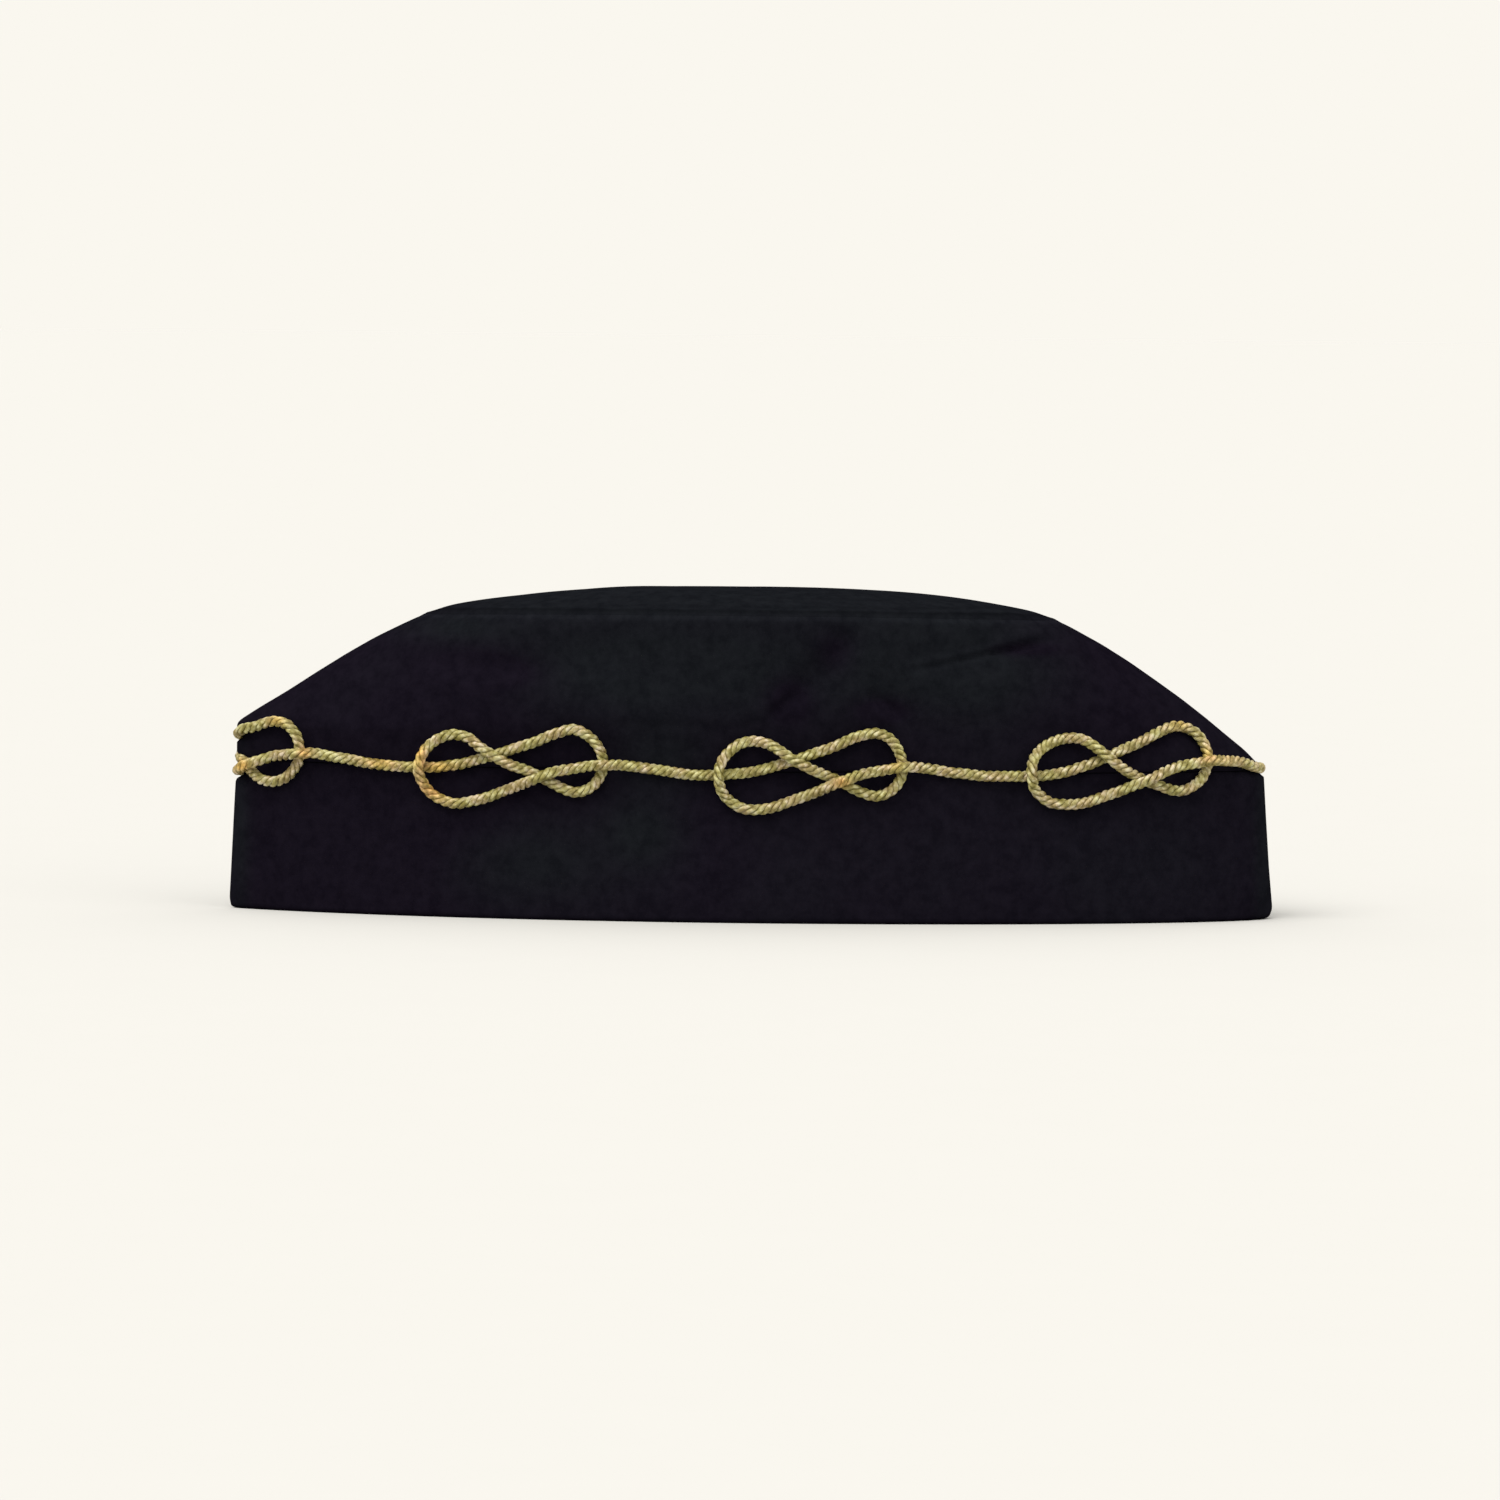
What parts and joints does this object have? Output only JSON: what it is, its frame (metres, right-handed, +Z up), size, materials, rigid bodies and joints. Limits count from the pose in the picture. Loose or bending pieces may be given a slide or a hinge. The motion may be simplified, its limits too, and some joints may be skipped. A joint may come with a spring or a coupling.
{
  "type": "ceremonial crown cap with a knotted cord",
  "caption": "Soft black cloth cap with a straight band, sloping crown and oval tip, and a gold twisted cord laid round it in love knots.",
  "frame": {"origin": "on the surface the cap stands on, under the middle of its bounding box", "axes": "+Z up, the front faces -Y, +X to the right as seen from the front"},
  "size_m": [0.2824, 0.0812, 0.0879],
  "materials": {
    "cloth": "fine black wool cloth, soft dull sheen",
    "gold_cord": "twisted pale gold thread, satin"
  },
  "bodies": {
    "root": {"band": "cloth", "crown_side": "cloth", "crown_tip": "cloth", "knot_cord": "gold_cord"}
  },
  "joints": []
}
